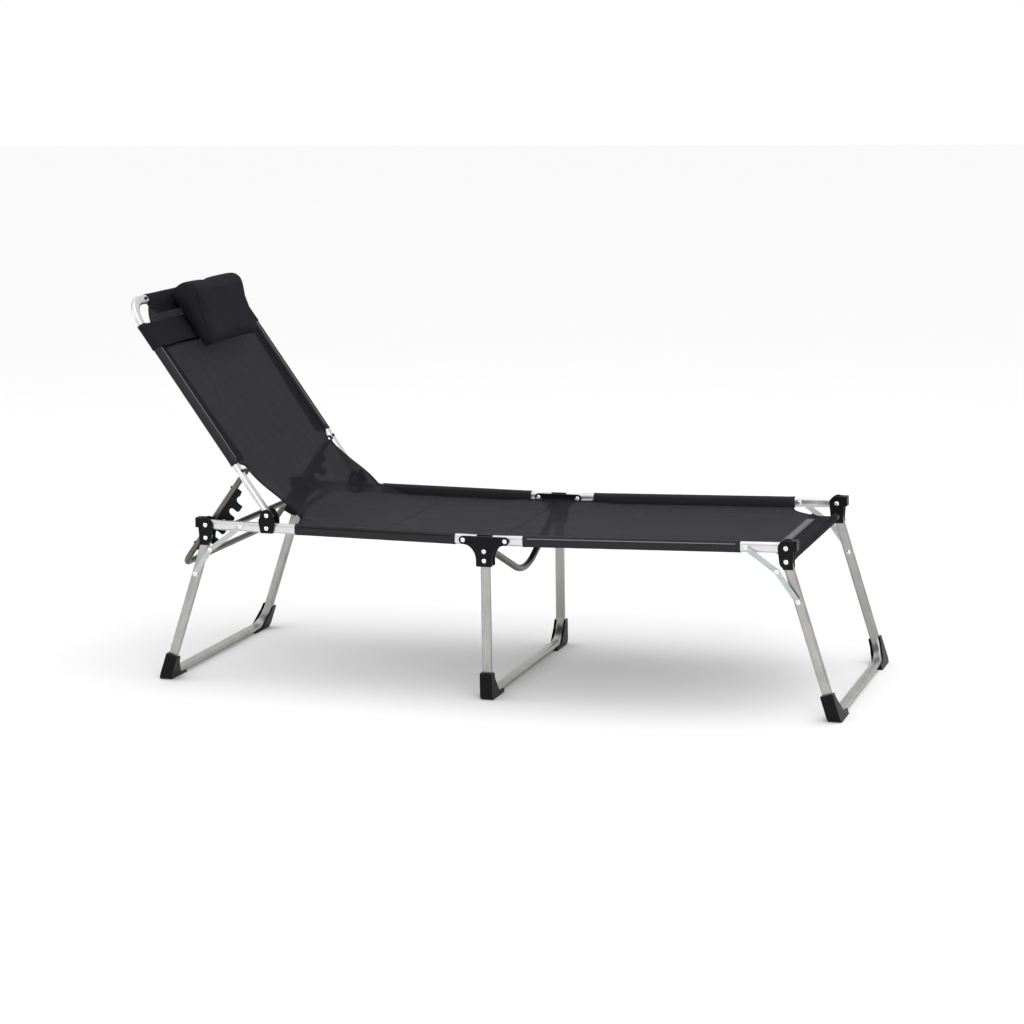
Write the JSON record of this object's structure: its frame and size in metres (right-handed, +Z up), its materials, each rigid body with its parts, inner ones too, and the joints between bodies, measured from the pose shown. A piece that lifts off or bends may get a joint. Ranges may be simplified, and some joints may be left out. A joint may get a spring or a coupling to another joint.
{
  "type": "reclining sun lounger",
  "caption": "Folding aluminium sun lounger with a black mesh sling, reclining toothed-bail backrest, hoop legs and a head pillow.",
  "frame": {"origin": "on the floor under the middle of the whole object's box", "axes": "+X towards the foot end, +Y to the user's left, +Z up"},
  "size_m": [1.787, 0.6408, 0.9806],
  "materials": {
    "black_plastic": "moulded, fine grain",
    "rivet_steel": "bright domed heads",
    "link_steel": "zinc-plated strip",
    "screw_black": "black oxide",
    "rail_aluminium": "satin anodised",
    "leg_aluminium": "drawn, anodised",
    "bar_aluminium": "drawn, anodised",
    "sling_mesh": "woven coated mesh",
    "grey_webbing": "woven tape",
    "band_cloth": "plain weave",
    "pillow_cloth": "brushed polyester"
  },
  "bodies": {
    "middle_frame": {"middle_leg": "leg_aluminium", "middle_foot_left": "black_plastic", "middle_foot_right": "black_plastic", "hinge_plate_outer_left": "black_plastic", "hinge_plate_outer_right": "black_plastic", "hinge_plate_inner_left": "black_plastic", "hinge_plate_inner_right": "black_plastic", "hinge_rivets": "rivet_steel", "carrying_bar": "bar_aluminium", "seat_cloth_middle": "sling_mesh"},
    "front_half": {"front_rail_left": "rail_aluminium", "front_rail_right": "rail_aluminium", "front_bracket_left": "black_plastic", "front_bracket_right": "black_plastic", "front_rivets": "rivet_steel", "front_washers": "rivet_steel", "foot_bar": "bar_aluminium", "seat_cloth_front": "sling_mesh", "foot_strap": "grey_webbing"},
    "front_leg_frame": {"front_leg": "leg_aluminium", "front_foot_left": "black_plastic", "front_foot_right": "black_plastic", "front_leg_rivets": "rivet_steel", "front_leg_spacers": "rivet_steel"},
    "front_upper_brace": {"front_upper_links": "link_steel"},
    "front_lower_brace": {"front_lower_links": "link_steel", "front_knee_rivets": "rivet_steel"},
    "rear_half": {"rear_rail_left": "rail_aluminium", "rear_rail_right": "rail_aluminium", "rear_bracket_left": "black_plastic", "rear_bracket_right": "black_plastic", "rear_rivets": "rivet_steel", "rear_washers": "rivet_steel", "rack_bar": "bar_aluminium", "back_plate_outer_left": "black_plastic", "back_plate_outer_right": "black_plastic", "back_plate_inner_left": "black_plastic", "back_plate_inner_right": "black_plastic", "back_hinge_rivets": "rivet_steel", "back_plate_spacers": "rivet_steel", "seat_cloth_rear": "sling_mesh", "bend_cloth": "sling_mesh"},
    "rear_leg_frame": {"rear_leg": "leg_aluminium", "rear_foot_left": "black_plastic", "rear_foot_right": "black_plastic", "rear_leg_rivets": "rivet_steel", "rear_leg_spacers": "rivet_steel"},
    "rear_upper_brace": {"rear_upper_links": "link_steel"},
    "rear_lower_brace": {"rear_lower_links": "link_steel", "rear_knee_rivets": "rivet_steel"},
    "backrest": {"backrest_frame": "rail_aluminium", "backrest_screws": "screw_black", "bail_bolts": "rivet_steel", "back_cloth": "sling_mesh", "pillow_band": "band_cloth", "head_pillow": "pillow_cloth"},
    "bail_frame": {"bail": "bar_aluminium", "rack_left": "black_plastic", "rack_right": "black_plastic", "rack_screws": "screw_black"}
  },
  "joints": [
    {"name": "front_fold", "type": "hinge", "parent": "middle_frame", "child": "front_half", "pos_m": [0.08459, 0, 0.39], "axis": [0, 1, 0], "range_deg": [0, 72], "deforming": ["seat_cloth_middle"]},
    {"name": "rear_fold", "type": "hinge", "parent": "middle_frame", "child": "rear_half", "pos_m": [-0.02001, 0, 0.39], "axis": [0, -1, 0], "range_deg": [0, 72]},
    {"name": "front_leg_fold", "type": "hinge", "parent": "front_half", "child": "front_leg_frame", "pos_m": [0.76231, 0, 0.37221], "axis": [0, 1, 0], "range_deg": [0, 106.03]},
    {"name": "rear_leg_fold", "type": "hinge", "parent": "rear_half", "child": "rear_leg_frame", "pos_m": [-0.68822, 0, 0.3657], "axis": [0, -1, 0], "range_deg": [0, 108.18]},
    {"name": "front_upper_link", "type": "hinge", "parent": "front_half", "child": "front_upper_brace", "pos_m": [0.66647, 0, 0.40204], "axis": [0, 1, 0], "range_deg": [0, 122.92]},
    {"name": "rear_upper_link", "type": "hinge", "parent": "rear_half", "child": "rear_upper_brace", "pos_m": [-0.59597, 0, 0.39646], "axis": [0, -1, 0], "range_deg": [0, 95.03]},
    {"name": "front_lower_link", "type": "hinge", "parent": "front_leg_frame", "child": "front_lower_brace", "pos_m": [0.79078, 0, 0.28022], "axis": [0, 1, 0], "range_deg": [-161.45, 0]},
    {"name": "rear_lower_link", "type": "hinge", "parent": "rear_leg_frame", "child": "rear_lower_brace", "pos_m": [-0.71958, 0, 0.27359], "axis": [0, -1, 0], "range_deg": [-199.59, 0]},
    {"name": "backrest_recline", "type": "hinge", "parent": "rear_half", "child": "backrest", "pos_m": [-0.52471, 0, 0.4273], "axis": [0, -1, 0], "range_deg": [0, 54.36], "deforming": ["bend_cloth"]},
    {"name": "bail_swing", "type": "hinge", "parent": "backrest", "child": "bail_frame", "pos_m": [-0.59354, 0, 0.5256], "axis": [0, -1, 0], "range_deg": [-84.83, 0]}
  ],
  "couplings": [
    {"joint": "front_leg_fold", "follows": "front_fold", "ratio": 1.4724},
    {"joint": "front_upper_link", "follows": "front_fold", "ratio": 1.7069},
    {"joint": "front_lower_link", "follows": "front_fold", "ratio": -2.2421},
    {"joint": "rear_leg_fold", "follows": "rear_fold", "ratio": 1.5022},
    {"joint": "rear_upper_link", "follows": "rear_fold", "ratio": 1.3196},
    {"joint": "rear_lower_link", "follows": "rear_fold", "ratio": -2.7718},
    {"joint": "bail_swing", "follows": "backrest_recline", "ratio": -1.56}
  ]
}
